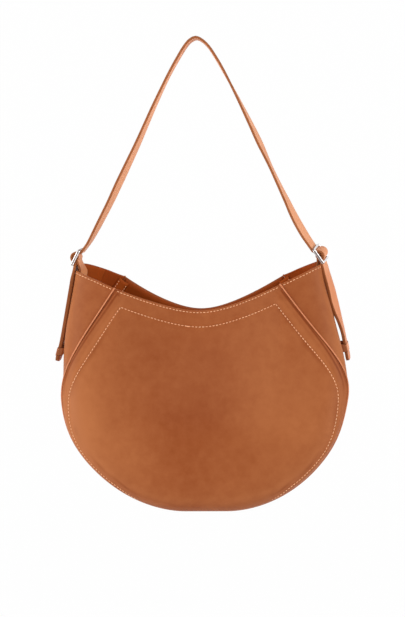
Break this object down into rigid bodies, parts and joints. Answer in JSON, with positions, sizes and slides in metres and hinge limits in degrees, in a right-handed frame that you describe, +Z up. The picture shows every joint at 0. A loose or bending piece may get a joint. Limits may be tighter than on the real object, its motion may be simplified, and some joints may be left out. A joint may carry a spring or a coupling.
{
  "type": "shoulder bag",
  "caption": "Rounded leather shoulder bag with folded gussets, piped seams, a hidden magnet closure and a strap woven through slide buckles.",
  "frame": {"origin": "centre of the bend in the strap's crown, on the axis of the hook, rail or shoulder it hangs from", "axes": "+Z up, +X to the right as seen from the front, +Y towards the back"},
  "size_m": [0.344, 0.106, 0.5623],
  "materials": {
    "bag_leather": "smooth tan calf leather, soft satin",
    "trim_leather": "smooth tan leather trim, satin, painted edges",
    "lining_leather": "smooth leather lining, matt",
    "strap_leather": "smooth tan strap leather, satin, painted edges",
    "buckle_metal": "polished silver-tone metal",
    "magnet_metal": "plated magnet, hidden",
    "stiffener": "pressed board, hidden"
  },
  "bodies": {
    "strap": {"shoulder_strap": "strap_leather"},
    "bag": {"front_panel": "bag_leather", "back_panel": "bag_leather", "left_gusset": "bag_leather", "right_gusset": "bag_leather", "front_piping": "trim_leather", "back_piping": "trim_leather", "front_border_facing": "lining_leather", "back_border_facing": "lining_leather", "left_gusset_facing": "lining_leather", "right_gusset_facing": "lining_leather", "front_seam_binding": "lining_leather", "back_seam_binding": "lining_leather", "base_board": "stiffener", "front_magnet": "magnet_metal", "back_magnet": "magnet_metal", "front_magnet_pocket": "lining_leather", "back_magnet_pocket": "lining_leather", "left_tab": "trim_leather", "right_tab": "trim_leather", "left_keeper": "trim_leather", "right_keeper": "trim_leather", "left_strap_end": "strap_leather", "right_strap_end": "strap_leather"},
    "left_slide": {"left_buckle": "buckle_metal"},
    "right_slide": {"right_buckle": "buckle_metal"}
  },
  "joints": [
    {"name": "bag_swing", "type": "hinge", "parent": "strap", "child": "bag", "pos_m": [0, 0, -0.237], "axis": [1, 0, 0], "range_deg": [-75, 75], "deforming": ["left_strap_end", "right_strap_end"]},
    {"name": "left_buckle_rock", "type": "hinge", "parent": "bag", "child": "left_slide", "pos_m": [-0.146, 0, -0.237], "axis": [0, 1, 0], "range_deg": [-6, 6], "deforming": ["left_strap_end"]},
    {"name": "right_buckle_rock", "type": "hinge", "parent": "bag", "child": "right_slide", "pos_m": [0.146, 0, -0.237], "axis": [0.2004, 0.9744, 0.1021], "range_deg": [-6, 6], "deforming": ["right_strap_end"]}
  ]
}
